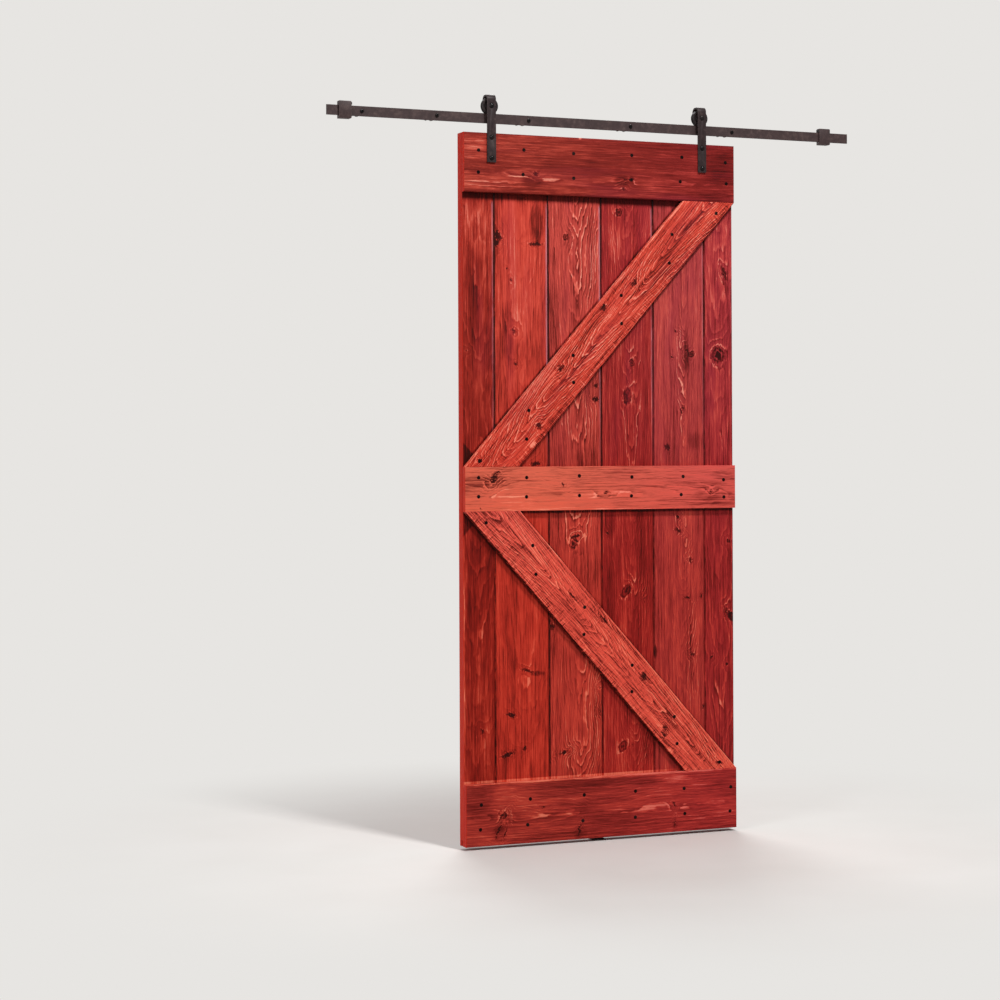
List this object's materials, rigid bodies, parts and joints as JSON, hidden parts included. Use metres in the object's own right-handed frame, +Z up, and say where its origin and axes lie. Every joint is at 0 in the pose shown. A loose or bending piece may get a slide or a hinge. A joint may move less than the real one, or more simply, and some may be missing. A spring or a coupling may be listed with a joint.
{
  "type": "sliding barn door",
  "caption": "Red-stained pine plank barn door with K bracing, hung by strap hangers with grooved wheels from a flat steel wall track with end stops.",
  "frame": {"origin": "on the wall face, on the axis of the middle lag screw, at the track's mid-height", "axes": "+X along the track to the right as seen from the room, +Y into the wall, +Z up"},
  "size_m": [1.76, 0.1249, 2.2595],
  "materials": {
    "stained_pine": "satin red stain over open grain",
    "bronze_steel": "satin dark bronze coating",
    "dark_wheel": "satin dark bronze coating, polished where it rolls",
    "black_bolt": "black oxide, glossy domes",
    "zinc_steel": "zinc plate",
    "bearing_steel": "ground",
    "black_rubber": "matte"
  },
  "bodies": {
    "track": {"track_rail": "bronze_steel", "wall_spacer_1": "bronze_steel", "lag_screw_1": "black_bolt", "wall_spacer_2": "bronze_steel", "lag_screw_2": "black_bolt", "wall_spacer_3": "bronze_steel", "lag_screw_3": "black_bolt", "wall_spacer_4": "bronze_steel", "lag_screw_4": "black_bolt", "wall_spacer_5": "bronze_steel", "lag_screw_5": "black_bolt", "left_stop": "bronze_steel", "left_stop_pad": "black_rubber", "left_stop_screws": "zinc_steel", "right_stop": "bronze_steel", "right_stop_pad": "black_rubber", "right_stop_screws": "zinc_steel", "floor_guide": "bronze_steel"},
    "door": {"plank_1": "stained_pine", "plank_2": "stained_pine", "plank_3": "stained_pine", "plank_4": "stained_pine", "plank_5": "stained_pine", "plank_6": "stained_pine", "top_rail": "stained_pine", "middle_rail": "stained_pine", "bottom_rail": "stained_pine", "upper_brace": "stained_pine", "lower_brace": "stained_pine", "left_strap": "bronze_steel", "left_axle_bolt": "black_bolt", "left_axle_nut": "zinc_steel", "left_axle_spacers": "zinc_steel", "left_bearing_inner": "bearing_steel", "left_strap_bolts": "black_bolt", "left_strap_nuts": "zinc_steel", "right_strap": "bronze_steel", "right_axle_bolt": "black_bolt", "right_axle_nut": "zinc_steel", "right_axle_spacers": "zinc_steel", "right_bearing_inner": "bearing_steel", "right_strap_bolts": "black_bolt", "right_strap_nuts": "zinc_steel"},
    "left_wheel": {"left_wheel": "dark_wheel", "left_bearing_outer": "bearing_steel"},
    "right_wheel": {"right_wheel": "dark_wheel", "right_bearing_outer": "bearing_steel"}
  },
  "joints": [
    {"name": "door_slide", "type": "slide", "parent": "track", "child": "door", "axis": [1, 0, 0], "range_m": [-0.4146, 0.4023]},
    {"name": "left_wheel_spin", "type": "hinge", "parent": "door", "child": "left_wheel", "pos_m": [-0.128, -0.0485, 0.0373], "axis": [0, 1, 0], "continuous": true},
    {"name": "right_wheel_spin", "type": "hinge", "parent": "door", "child": "right_wheel", "pos_m": [0.583, -0.0485, 0.0373], "axis": [0, 1, 0], "continuous": true}
  ],
  "couplings": [
    {"joint": "left_wheel_spin", "follows": "door_slide", "rad_per_m": 45.455},
    {"joint": "right_wheel_spin", "follows": "door_slide", "rad_per_m": 45.455}
  ]
}
